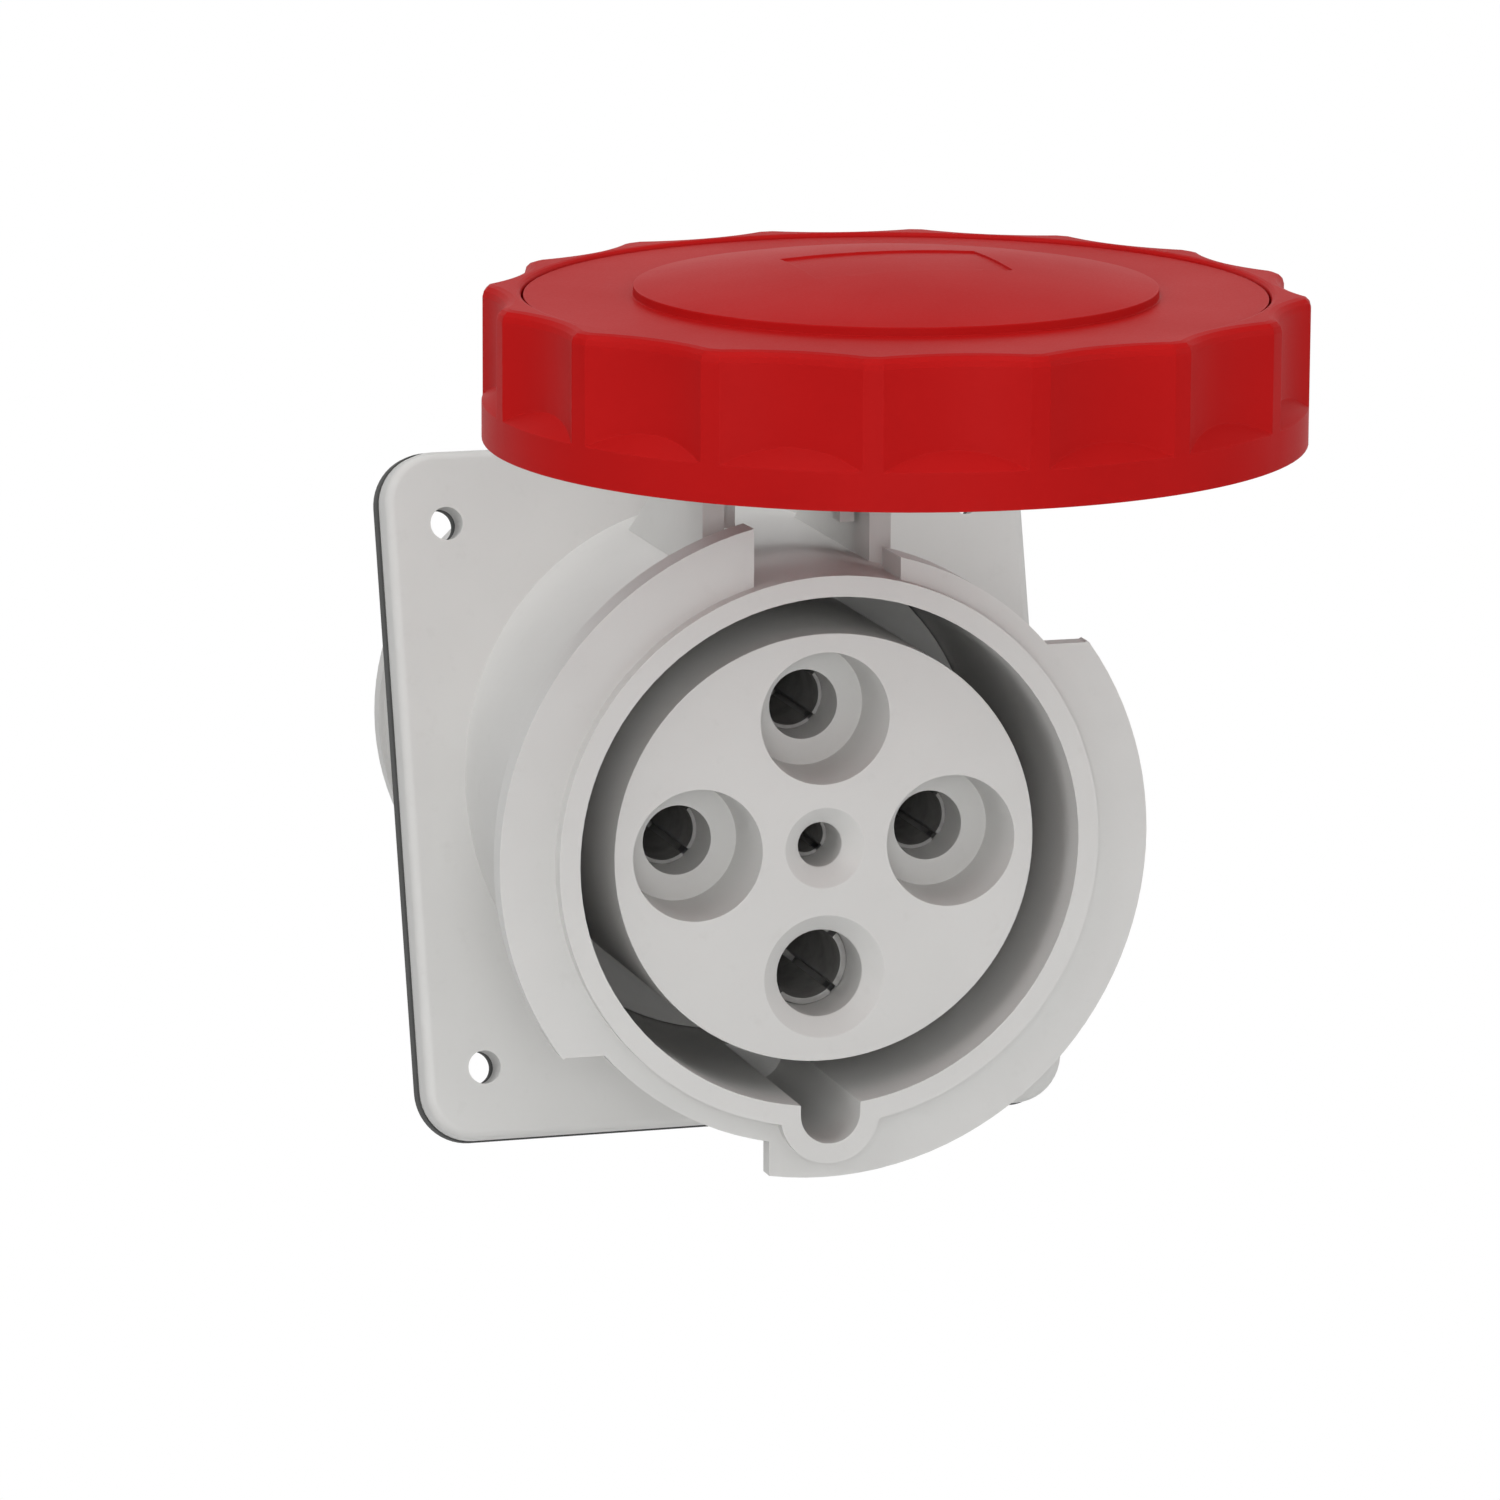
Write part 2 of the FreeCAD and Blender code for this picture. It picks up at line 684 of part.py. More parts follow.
# A cap screw that points along the barrel, with a cross slot in its head.
def axial_screws(label, ring, count, first, seat, radius, head_radius, head_height, length, back):
    body = socket_body(label)
    for i in range(count):
        angle = "(%s + %d)" % (first, i * 360 // count)
        x = "%s * cos%s" % (ring, angle)
        z = "%s * sin%s" % (ring, angle)
        head = sketch(body, "XZ_Plane", seat)
        circle(head, head_radius, x, z)
        pad(body, head, head_height, back=not back)
        shank = sketch(body, "XZ_Plane", seat)
        circle(shank, radius, x, z)
        pad(body, shank, length, back=back)
    for across, along in (("head_slot / 2", "head_slot * 2"), ("head_slot * 2", "head_slot / 2")):
        top = "%s %s %s" % (seat, "+" if back else "-", head_height)
        slot = sketch(body, "XZ_Plane", top)
        for i in range(count):
            angle = "(%s + %d)" % (first, i * 360 // count)
            x = "%s * cos%s" % (ring, angle)
            z = "%s * sin%s" % (ring, angle)
            rectangle(
                slot,
                "%s - %s" % (x, across),
                "%s - %s" % (z, along),
                "%s + %s" % (x, across),
                "%s + %s" % (z, along),
            )
        pocket(body, slot, "%s * 0.6" % head_height, back=back)
    return body


axial_screws(
    "carrier_screws",
    "carrier_screw_circle",
    4,
    "0",
    base_front,
    "carrier_screw_radius",
    "carrier_screw_head_radius",
    "carrier_screw_head_height",
    "carrier_screw_length",
    False,
)
axial_screws(
    "retainer_screws",
    "retainer_screw_circle",
    4,
    "45",
    carrier_end + " + retainer_thick",
    "retainer_screw_radius",
    "carrier_screw_head_radius",
    "carrier_screw_head_height",
    "retainer_screw_length",
    True,
)

# Each contact: a split tube for the pin, whose nose sits in the carrier's hole, a
# shoulder held by the retainer, and a terminal with its wire bore and threaded
# clamp holes.
contact_end = "(%s + retainer_thick + terminal_length)" % carrier_end


# A section on a plane that holds the barrel's axis, turned about that axis, and
# the line across the barrel that a clamp screw is turned about.
def clamp_section(body, turn, setback, radius, low, high):
    plane = sketch(body, "YZ_Plane", tilt=turn)
    x = "%s - %s" % (contact_end, setback)
    rectangle(plane, x, low, "%s + %s" % (x, radius), high)
    middle = plane.addGeometry(Part.LineSegment(Vector(number(x), 0, 0), Vector(number(x), 5, 0)), True)
    hold(plane, "DistanceX", middle, 1, x)
    hold(plane, "DistanceY", middle, 1, "0")
    plane.addConstraint(Sketcher.Constraint("Vertical", middle))
    plane.addConstraint(Sketcher.Constraint("DistanceY", middle, 1, middle, 2, 5))
    return plane, (plane, ["Axis0"])


for label, (kind, x, z, turn) in contacts.items():
    contact = socket_body(label, x, z=z)
    front = sleeve_front(kind)
    nose_front = front + " - contact_play - nose_length"
    nose = "(%s - nose_play)" % kind["hole"]
    rest = "%s - contact_play" % chamber(kind)
    sleeve = "(%s + contact_wall)" % kind["pin"]
    shoulder_front = carrier_end + " - shoulder_thick"
    spring_front = front + " + spring_setback"
    section = sketch(contact, "YZ_Plane")
    polygon(
        section,
        [
            (nose_front, kind["pin"]),
            (nose_front, nose),
            (front, nose),
            (front, sleeve),
            (spring_front, sleeve),
            (spring_front, sleeve + " - spring_thick / 2"),
            (spring_front + " + spring_width", sleeve + " - spring_thick / 2"),
            (spring_front + " + spring_width", sleeve),
            (front + " + sleeve_length", sleeve),
            (front + " + sleeve_length", rest),
            (shoulder_front, rest),
            (shoulder_front, rest + " + shoulder_height"),
            (carrier_end, rest + " + shoulder_height"),
            (carrier_end, kind["terminal"]),
            (contact_end, kind["terminal"]),
            (contact_end, kind["wire"]),
            (contact_end + " - wire_depth", kind["wire"]),
            (contact_end + " - wire_depth", "0"),
            (front + " + sleeve_length", "0"),
            (front + " + sleeve_length", kind["pin"]),
        ],
    )
    revolve(contact, section)
    for setback in kind["clamps"]:
        hole, middle = clamp_section(
            contact,
            turn,
            setback,
            kind["clamp"] + " + screw_play",
            kind["wire"] + " - clamp_reach",
            kind["terminal"] + " + clamp_reach",
        )
        groove(contact, hole, middle)
    for slot_turn in ("45", "135"):
        slot = sketch(contact, "XZ_Plane", nose_front, turn=slot_turn)
        rectangle(slot, "-slot_width / 2", "-" + sleeve, "slot_width / 2", sleeve)
        pocket(contact, slot, "slot_length")
    spring = socket_body(label.replace("contact", "spring"), x, z=z)
    ring = sketch(spring, "XZ_Plane", spring_front)
    circle(ring, sleeve + " + spring_thick / 2")
    circle(ring, sleeve + " - spring_thick / 2 + spring_play")
    pad(spring, ring, "spring_width")
    gap = sketch(spring, "XZ_Plane", spring_front)
    rectangle(gap, "-spring_gap / 2", "0", "spring_gap / 2", sleeve + " + spring_thick")
    pocket(spring, gap, "spring_width")


# Slotted clamp screws, seen from behind: they point outwards from the barrel's
# axis, and their tips just reach into the wire bores.
def clamp_screws(label, turns, kind, out, length):
    body = socket_body(label)
    for turn in turns:
        for setback in kind["clamps"]:
            low = "%s + %s - clamp_reach" % (out, kind["wire"])
            high = "%s + %s" % (low, length)
            shank, middle = clamp_section(body, turn, setback, kind["clamp"], low, high)
            revolve(body, shank, middle)
            slot = sketch(body, "YZ_Plane", tilt=turn)
            x = "%s - %s" % (contact_end, setback)
            rectangle(slot, x + " - clamp_slot / 2", high + " - clamp_slot", x + " + clamp_slot / 2", high)
            cut = pocket(body, slot, "3 * %s" % kind["clamp"])
            cut.Midplane = True
    return body


clamp_screws("terminal_screws", ("0", "90", "180", "270"), phase, "pin_circle", "clamp_length")
clamp_screws("pilot_screw", ("315",), pilot, "0", "pilot_clamp_length")

# The hinge pin, with a head at one end and a groove for its clip at the other.
cheek_out = "(notch_width / 2 + cheek_thick)"
pin = socket_body("hinge_pin")
shank = sketch(pin, "YZ_Plane", "-" + cheek_out)
circle(shank, "pin_radius", "hinge_depth", "hinge_height")
pad(pin, shank, "2 * %s + pin_end_length" % cheek_out)
head = sketch(pin, "YZ_Plane", "-" + cheek_out)
circle(head, "pin_head_radius", "hinge_depth", "hinge_height")
pad(pin, head, "pin_head_thick", back=True)
clip_place = cheek_out + " + pin_seat_play"
clip_groove = sketch(pin, "YZ_Plane", clip_place)
circle(clip_groove, "pin_radius + 1", "hinge_depth", "hinge_height")
circle(clip_groove, "pin_radius - clip_groove_depth", "hinge_depth", "hinge_height")
pocket(pin, clip_groove, "clip_thick")

pin_clip = socket_body("hinge_pin_clip")
clip = sketch(pin_clip, "YZ_Plane", clip_place)
circle(clip, "clip_radius", "hinge_depth", "hinge_height")
circle(clip, "pin_radius - clip_groove_depth + pin_seat_play", "hinge_depth", "hinge_height")
pad(pin_clip, clip, "clip_thick")
clip_mouth = sketch(pin_clip, "YZ_Plane", clip_place)
rectangle(
    clip_mouth,
    "hinge_depth - pin_radius * 0.6",
    "hinge_height - clip_radius",
    "hinge_depth + pin_radius * 0.6",
    "hinge_height",
)
pocket(pin_clip, clip_mouth, "clip_thick")

# The bayonet ring. Its lip keeps the cap in, and sixteen shallow scallops are
# cut round its grip, down to a cone that slopes out to the plain band.
ring = lid_body("lock_ring")
ring_bore = "(ring_radius - ring_wall)"
ring_lip = "(ring_radius - ring_wall - ring_lip_step)"
ring_mouth = "(ring_radius - ring_wall - ring_mouth_step)"
clip_outer = "(ring_radius - ring_wall + ring_clip_seat)"
clip_front = "(cap_skirt_end - ring_clip_play)"


# The ring's top edges are quarter rounds, in three steps, that lean in from the
# outer wall and out from the lip.
def rolled(edge, side, radius):
    return [
        (
            "-ring_height + %s * (1 - sin(%d))" % (radius, turn),
            "%s %s %s * (1 - cos(%d))" % (edge, side, radius, turn),
        )
        for turn in (0, 30, 60, 90)
    ]


ring_section = sketch(ring, "YZ_Plane")
polygon(
    ring_section,
    [
        ("0", ring_mouth),
        ("0", "ring_radius"),
        *rolled("ring_radius", "-", "ring_top_round"),
        *reversed(rolled(ring_lip, "+", "ring_lip_round")),
        ("-ring_height + ring_lip_thick", ring_lip),
        ("-ring_height + ring_lip_thick", ring_bore),
        ("-%s - ring_clip_play / 2" % clip_front, ring_bore),
        ("-%s - ring_clip_play / 2" % clip_front, clip_outer + " + ring_clip_play"),
        ("-%s + ring_clip_thick + ring_clip_play / 2" % clip_front, clip_outer + " + ring_clip_play"),
        ("-%s + ring_clip_thick + ring_clip_play / 2" % clip_front, ring_mouth),
    ],
)
revolve(ring, ring_section)
doc.recompute()
scallop_floor = "(ring_radius - scallop_depth)"
scallop_centre = "(ring_radius - scallop_depth + scallop_radius)"
scallop = sketch(ring, "YZ_Plane", tilt="scallop_turn")
polygon(
    scallop,
    [
        ("-ring_band", scallop_centre),
        ("-ring_band", scallop_floor),
        *rolled(scallop_floor, "-", "ring_top_round"),
        ("-ring_height - 1", scallop_floor + " - ring_top_round"),
        ("-ring_height - 1", scallop_centre),
    ],
)
scoop = groove(ring, scallop, axis_line(scallop, scallop_centre))
doc.recompute()
around_axis(ring, [scoop], "scallop_count")
scallop_root = "((%s + %s + ring_clip_play) / 2)" % (scallop_floor, clip_outer)
foot_cone = sketch(ring, "YZ_Plane")
polygon(
    foot_cone,
    [
        ("-ring_band", scallop_root),
        ("-ring_band", "ring_radius"),
        ("-ring_band - scallop_foot", scallop_floor),
        ("-ring_band - scallop_foot", scallop_root),
    ],
)
revolve(ring, foot_cone)
doc.recompute()


# Two lugs reach in from the ring's rim to pass behind the wings.
def lug_angle(i, end):
    return "(lug_start + %d%s)" % (180 * i, " + lug_sweep" if end else "")


for i in range(2):
    lug = sketch(ring, "XZ_Plane")
    reach = "(%s + ring_radius) / 2" % ring_mouth
    corners = []
    for radius, end in (
        ("lug_inner_radius", False),
        (reach, False),
        (reach, True),
        ("lug_inner_radius", True),
    ):
        corners.append(
            ("%s * cos%s" % (radius, lug_angle(i, end)), "%s * sin%s" % (radius, lug_angle(i, end)))
        )
    arcs = (("lug_inner_radius", 3, 0), (reach, 1, 2))
    first = lug.GeometryCount
    spots = [Vector(number(x), number(y), 0) for x, y in corners]
    lug.addGeometry(Part.LineSegment(spots[0], spots[1]), False)
    start, stop = (math.radians(number(lug_angle(i, end))) for end in (False, True))
    outer_circle = Part.Circle(Vector(), Vector(0, 0, 1), number(reach))
    inner_circle = Part.Circle(Vector(), Vector(0, 0, 1), number("lug_inner_radius"))
    lug.addGeometry(Part.ArcOfCircle(outer_circle, start, stop), False)
    lug.addGeometry(Part.LineSegment(spots[2], spots[3]), False)
    lug.addGeometry(Part.ArcOfCircle(inner_circle, start, stop), False)
    for a, a_end, b, b_end in ((0, 2, 1, 1), (1, 2, 2, 1), (2, 2, 3, 2), (3, 1, 0, 1)):
        lug.addConstraint(Sketcher.Constraint("Coincident", a, a_end, b, b_end))
    for arc in (1, 3):
        lug.addConstraint(Sketcher.Constraint("Coincident", arc, 3, -1, 1))
    for line, corner in ((0, 0), (2, 2)):
        hold(lug, "DistanceX", line, 1, corners[corner][0])
        hold(lug, "DistanceY", line, 1, corners[corner][1])
        other = corner + 1
        hold(lug, "DistanceX", line, 2, corners[other][0])
    pad(ring, lug, "lug_thick", back=True)

ring_clip = lid_body("lock_ring_clip")
clip_ring = sketch(ring_clip, "XZ_Plane", "-" + clip_front)
circle(clip_ring, clip_outer)
circle(clip_ring, ring_mouth + " - ring_clip_reach")
pad(ring_clip, clip_ring, "ring_clip_thick")
clip_gap = sketch(ring_clip, "XZ_Plane", "-" + clip_front)
rectangle(clip_gap, "-ring_clip_thick", "-ring_radius", "ring_clip_thick", "0")
pocket(ring_clip, clip_gap, "ring_clip_thick")

# The cap: a flat top with a raised disc, a skirt inside the ring, and two ribs
# that hold the seal over the barrel's front edge.
cap = lid_body("lid_cap")
cap_top = "(-ring_height + cap_top_drop)"
cap_under = "(-ring_height + cap_top_drop + cap_top_thick)"
cap_shoulder = "(-ring_height + ring_lip_thick + ring_clip_play)"
skirt = "(ring_radius - ring_wall - cap_play)"
seal_front = "(-rim_depth - seal_gap)"
seal_back = "(-rim_depth - seal_gap - seal_thick)"
seat_inner = "(seal_inner_radius - seal_play)"
seat_outer = "(seal_outer_radius + seal_play)"
cap_section = sketch(cap, "YZ_Plane")
polygon(
    cap_section,
    [
        (cap_top + " - dome_step", "0"),
        (cap_top + " - dome_step", "dome_radius"),
        (cap_top, "dome_radius"),
        (cap_top, ring_lip + " - cap_play"),
        (cap_shoulder, ring_lip + " - cap_play"),
        (cap_shoulder, skirt),
        ("-cap_skirt_end", skirt),
        ("-cap_skirt_end", skirt + " - cap_skirt_wall"),
        (cap_under, skirt + " - cap_skirt_wall"),
        (cap_under, seat_outer + " + seal_rib"),
        (seal_front + " - seal_thick / 2", seat_outer + " + seal_rib"),
        (seal_front + " - seal_thick / 2", seat_outer),
        (seal_back, seat_outer),
        (seal_back, seat_inner),
        (seal_front + " - seal_thick / 2", seat_inner),
        (seal_front + " - seal_thick / 2", seat_inner + " - seal_rib"),
        (cap_under, seat_inner + " - seal_rib"),
        (cap_under, "0"),
    ],
)
revolve(cap, cap_section)


# The raised disc's low crown: an arc turned about the lid's axis, from a base
# this far under the disc's edge.
def crown(drop):
    outline = sketch(cap, "YZ_Plane")
    base = "%s - dome_step + %s" % (cap_top, drop)
    apex = base + " - dome_rise"
    low, top, edge = number(base), number(apex), number("dome_radius")
    sphere = (edge**2 + (low - top) ** 2) / (2 * (low - top))
    half_angle = math.asin(edge / sphere)
    outline.addGeometry(Part.LineSegment(Vector(low, 0, 0), Vector(low, edge, 0)), False)
    round_edge = Part.Circle(Vector(top + sphere, 0, 0), Vector(0, 0, 1), sphere)
    outline.addGeometry(Part.ArcOfCircle(round_edge, math.pi - half_angle, math.pi), False)
    outline.addGeometry(Part.LineSegment(Vector(top, 0, 0), Vector(low, 0, 0)), False)
    for a, a_end, b, b_end in ((0, 2, 1, 1), (1, 2, 2, 1), (2, 2, 0, 1)):
        outline.addConstraint(Sketcher.Constraint("Coincident", a, a_end, b, b_end))
    outline.addConstraint(Sketcher.Constraint("PointOnObject", 1, 3, -1))
    hold(outline, "DistanceX", 0, 1, base)
    hold(outline, "DistanceY", 0, 1, "0")
    hold(outline, "DistanceX", 0, 2, base)
    hold(outline, "DistanceY", 0, 2, "dome_radius")
    hold(outline, "DistanceX", 2, 1, apex)
    hold(outline, "DistanceY", 2, 1, "0")
    revolve(cap, outline)


# A plain field is sunk in the crown, and its floor follows the same curve.
crown("0")
field = sketch(cap, "XZ_Plane", cap_top + " - dome_step - dome_rise")
rectangle(field, "-field_width / 2", "-field_height / 2", "field_width / 2", "field_height / 2")
pocket(cap, field, "dome_rise / 2")
crown("field_depth")

# The arm: a foot under the cap, a strap that leaves through the collar's notch,
# and a fork with two short tails round the hinge pin.
arm = lid_body("hinge_arm")
hub_y = "(hinge_depth - rim_depth)"
foot_inner = "(%s + seal_rib + foot_play)" % seat_outer
foot_outer = "(%s - cap_skirt_wall - foot_play)" % skirt
foot = sketch(arm, "XZ_Plane", cap_under)
rectangle(foot, "-foot_width / 2", "seal_inner_radius", "foot_width / 2", "ring_radius")
pad(arm, foot, "foot_thick")
inside = sketch(arm, "XZ_Plane", cap_under)
circle(inside, foot_inner)
pocket(arm, inside, "foot_thick")
outside = sketch(arm, "XZ_Plane", cap_under)
circle(outside, "ring_radius + foot_width")
circle(outside, foot_outer)
pocket(arm, outside, "foot_thick")
strap = sketch(arm, "YZ_Plane", "-arm_width / 2")
strap_top = "strap_height + strap_thick"
polygon(
    strap,
    [
        (cap_under, "strap_height"),
        (hub_y + " - 1.7 * arm_hub_radius", "strap_height"),
        (hub_y + " + 0.2 * arm_hub_radius", "hinge_height - 0.97 * arm_hub_radius"),
        (hub_y + " - 0.4 * arm_hub_radius", "hinge_height + 0.88 * arm_hub_radius"),
        (hub_y + " - 2.1 * arm_hub_radius", strap_top),
        (cap_under, strap_top),
    ],
)
pad(arm, strap, "arm_width")
hub = sketch(arm, "YZ_Plane", "-arm_width / 2")
circle(hub, "arm_hub_radius", hub_y, "hinge_height")
pad(arm, hub, "arm_width")
for x, back in (("-arm_width / 2", False), ("arm_width / 2", True)):
    tail = sketch(arm, "YZ_Plane", x)
    rectangle(
        tail,
        hub_y,
        "hinge_height - tail_drop",
        hub_y + " + tail_length",
        "hinge_height - tail_drop + tail_thick",
    )
    pad(arm, tail, "fork_thick", back)
pin_bore = sketch(arm, "YZ_Plane", "arm_width / 2 + 1")
circle(pin_bore, "pin_radius + pin_running_play", hub_y, "hinge_height")
pocket(arm, pin_bore, "arm_width + 2", back=True)

# Two screws hold the foot on the cap, one each side of the strap.
screw_line = "((%s + %s) / 2)" % (foot_inner, foot_outer)
screw_x = "arm_screw_spread / 2"
screw_z = "sqrt(%s * %s - %s * %s)" % (screw_line, screw_line, screw_x, screw_x)
foot_holes = sketch(arm, "XZ_Plane", cap_under)
circle(foot_holes, "arm_screw_radius + screw_play", screw_x, screw_z)
circle(foot_holes, "arm_screw_radius + screw_play", "-" + screw_x, screw_z)
pocket(arm, foot_holes, "foot_thick")
boss_holes = sketch(cap, "XZ_Plane", cap_under)
circle(boss_holes, "arm_screw_radius + screw_play", screw_x, screw_z)
circle(boss_holes, "arm_screw_radius + screw_play", "-" + screw_x, screw_z)
pocket(cap, boss_holes, "arm_screw_length - foot_thick", back=True)

arm_screws = lid_body("arm_screws")
head_seat = cap_under + " + foot_thick"
for x in (screw_x, "-" + screw_x):
    screw_head = sketch(arm_screws, "XZ_Plane", head_seat)
    circle(screw_head, "arm_screw_head_radius", x, screw_z)
    pad(arm_screws, screw_head, "arm_screw_head_height")
    screw_shank = sketch(arm_screws, "XZ_Plane", head_seat)
    circle(screw_shank, "arm_screw_radius", x, screw_z)
    pad(arm_screws, screw_shank, "arm_screw_length", back=True)
for wide, tall in (("head_slot / 2", "head_slot * 2"), ("head_slot * 2", "head_slot / 2")):
    cross = sketch(arm_screws, "XZ_Plane", head_seat + " + arm_screw_head_height")
    for x in (screw_x, "-" + screw_x):
        rectangle(
            cross,
            "%s - %s" % (x, wide),
            "%s - %s" % (screw_z, tall),
            "%s + %s" % (x, wide),
            "%s + %s" % (screw_z, tall),
        )
    pocket(arm_screws, cross, "arm_screw_head_height * 0.6", back=True)

lid_seal = lid_body("lid_seal")
seal_ring_front = sketch(lid_seal, "XZ_Plane", seal_back)
circle(seal_ring_front, "seal_outer_radius")
circle(seal_ring_front, "seal_inner_radius")
pad(lid_seal, seal_ring_front, "seal_thick")

# Each sub-part is checked, then written under its own label.
doc.recompute()
broken = [o.Name for o in doc.Objects if "Invalid" in o.State or "Error" in o.State]
if broken:
    raise RuntimeError("features that failed: %s" % ", ".join(broken))
bodies = [o for o in doc.Objects if o.TypeId == "PartDesign::Body"]
for body in bodies:
    if body.Shape.isNull() or not body.Shape.isValid():
        raise RuntimeError("%s has no valid shape" % body.Label)
for body in bodies:
    body.Shape.exportStep("parts/%s.step" % body.Label)
    print("%-20s %9.1f mm3, %d solids" % (body.Label, body.Shape.Volume, len(body.Shape.Solids)))
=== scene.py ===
import bpy
import json
import math
from mathutils import Matrix, Vector


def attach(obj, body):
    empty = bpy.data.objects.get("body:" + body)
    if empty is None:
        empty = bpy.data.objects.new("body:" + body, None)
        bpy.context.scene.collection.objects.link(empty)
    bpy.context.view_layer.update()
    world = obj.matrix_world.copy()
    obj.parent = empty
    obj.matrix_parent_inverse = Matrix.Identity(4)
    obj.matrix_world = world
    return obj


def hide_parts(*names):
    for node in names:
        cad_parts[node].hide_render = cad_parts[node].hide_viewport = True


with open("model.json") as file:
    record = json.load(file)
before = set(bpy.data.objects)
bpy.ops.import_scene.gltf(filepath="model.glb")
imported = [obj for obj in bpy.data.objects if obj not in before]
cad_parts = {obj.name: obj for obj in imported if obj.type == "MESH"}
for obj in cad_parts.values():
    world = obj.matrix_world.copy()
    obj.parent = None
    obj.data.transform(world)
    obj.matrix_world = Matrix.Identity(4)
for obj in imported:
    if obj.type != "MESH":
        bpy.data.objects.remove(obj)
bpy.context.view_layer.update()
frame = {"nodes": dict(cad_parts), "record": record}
print("frame loaded:", len(frame["nodes"]), "nodes")


# Where the photograph was taken from, in metres
cameraLook = {
    "place": (-0.38493, -1.36144, -0.06335),
    "right": (0.9595, -0.2724, -0.0713),
    "up": (0.0553, -0.0660, 0.9963),
    "lens": 203.05,
    "sensor": 36.0,
    "near": 0.05,
    "far": 20,
}


def makeCamera(look):
    right = Vector(look["right"]).normalized()
    back = right.cross(Vector(look["up"])).normalized()
    turn = Matrix((right, back.cross(right), back)).transposed()
    data = bpy.data.cameras.new("photoCamera")
    data.lens = look["lens"]
    data.sensor_width = look["sensor"]
    data.sensor_fit = "HORIZONTAL"
    data.clip_start = look["near"]
    data.clip_end = look["far"]
    camera = bpy.data.objects.new("photoCamera", data)
    camera.matrix_world = Matrix.Translation(Vector(look["place"])) @ turn.to_4x4()
    bpy.context.scene.collection.objects.link(camera)
    bpy.context.scene.camera = camera


makeCamera(cameraLook)
print("camera placed")


# Shader sockets that add and multiply like numbers
class Wire:
    def __init__(self, finish, socket):
        self.finish = finish
        self.socket = socket

    def maths(self, operation, first, second):
        return self.finish.node("ShaderNodeMath", {"operation": operation}, {0: first, 1: second})

    def __add__(self, other):
        return self.maths("ADD", self, other)

    def __radd__(self, other):
        return self.maths("ADD", other, self)

    def __sub__(self, other):
        return self.maths("SUBTRACT", self, other)

    def __rsub__(self, other):
        return self.maths("SUBTRACT", other, self)

    def __mul__(self, other):
        return self.maths("MULTIPLY", self, other)

    def __rmul__(self, other):
        return self.maths("MULTIPLY", other, self)

    def also(self, output):  # another output of the same node
        return Wire(self.finish, self.socket.node.outputs[output])

    def between(self, low, high):  # 0 at low, 1 at high, held at both ends
        ranged = {"From Min": low, "From Max": high, "Value": self}
        return self.finish.node("ShaderNodeMapRange", {"clamp": True}, ranged)


class Finish:
    noiseMiddle = 0.5  # what a noise swings about

    def __init__(self, name, holder=None):
        self.material = holder or bpy.data.materials.new(name)
        self.material.use_nodes = True
        self.tree = self.material.node_tree
        self.tree.nodes.clear()
        self.place = self.node("ShaderNodeTexCoord", {}, {}, "Object")

    def node(self, kind, settings, values, output=0):
        made = self.tree.nodes.new(kind)
        for name, value in settings.items():
            setattr(made, name, value)
        for name, value in values.items():
            if isinstance(value, Wire):
                self.tree.links.new(value.socket, made.inputs[name])
            else:
                made.inputs[name].default_value = value
        return Wire(self, made.outputs[output])

    def noise(self, look, place=None):  # its size is in metres
        values = {
            "Vector": place or self.place,
            "Scale": 1 / look["size"],
            "Detail": look["detail"],
            "Roughness": look["rough"],
        }
        return self.node("ShaderNodeTexNoise", {}, values, "Fac")

    def patches(self, look):  # a noise that shows from the low end of its span and is full at the high end
        return self.noise(look).between(*look["span"])

    def mix(self, share, first, second):  # two colours
        values = {0: share, 6: first, 7: second}  # 0 is the factor, 6 and 7 the colours A and B
        return self.node("ShaderNodeMix", {"data_type": "RGBA"}, values, 2)

    def edges(self, look):  # 1 on an edge that handling rubs, 0 on a face
        rounded = self.node("ShaderNodeBevel", {"samples": look["samples"]}, {"Radius": look["radius"]})
        plain = self.node("ShaderNodeNewGeometry", {}, {}, "Normal")
        both = {0: rounded, 1: plain}
        turned = self.node("ShaderNodeVectorMath", {"operation": "DOT_PRODUCT"}, both, "Value")
        return (1 - turned).between(*look["span"])

    def bumps(self, height, depth, strength):
        values = {"Height": height, "Distance": depth, "Strength": strength}
        return self.node("ShaderNodeBump", {}, values, "Normal")

    def body(self, **values):
        named = {name.replace("_", " "): value for name, value in values.items()}
        return self.node("ShaderNodeBsdfPrincipled", {}, named, "BSDF")

    def done(self, surface, kind="ShaderNodeOutputMaterial"):
        end = self.tree.nodes.new(kind)
        self.tree.links.new(surface.socket, end.inputs["Surface"])
        return self.material


# Moulded thermoplastic: a fine spark-eroded grain, slow changes of tone, rubbed edges
mouldLook = {
    "cloud": {"size": 0.045, "detail": 3.0, "rough": 0.55, "span": (0.32, 0.70)},
    "grain": {"size": 0.00045, "detail": 2.0, "rough": 0.6},
    "speck": {"size": 0.00315, "detail": 3.0, "rough": 0.65, "span": (0.60, 0.78)},
    "scuff": {"size": 0.006, "detail": 3.0, "rough": 0.6, "span": (0.30, 0.62)},
    "edge": {"radius": 0.0007, "samples": 6, "span": (0.01, 0.16)},
    "dust": 0.10,  # how much of the dust's tone the specks take
    "rub": 0.30,  # how much of the rubbed tone the edges take
    "cloudRough": 0.05,
    "grainRough": 0.10,
    "rubSmooth": 0.08,
    "grainDepth": 0.000012,
    "relief": 0.5,
    "ior": 1.50,
}
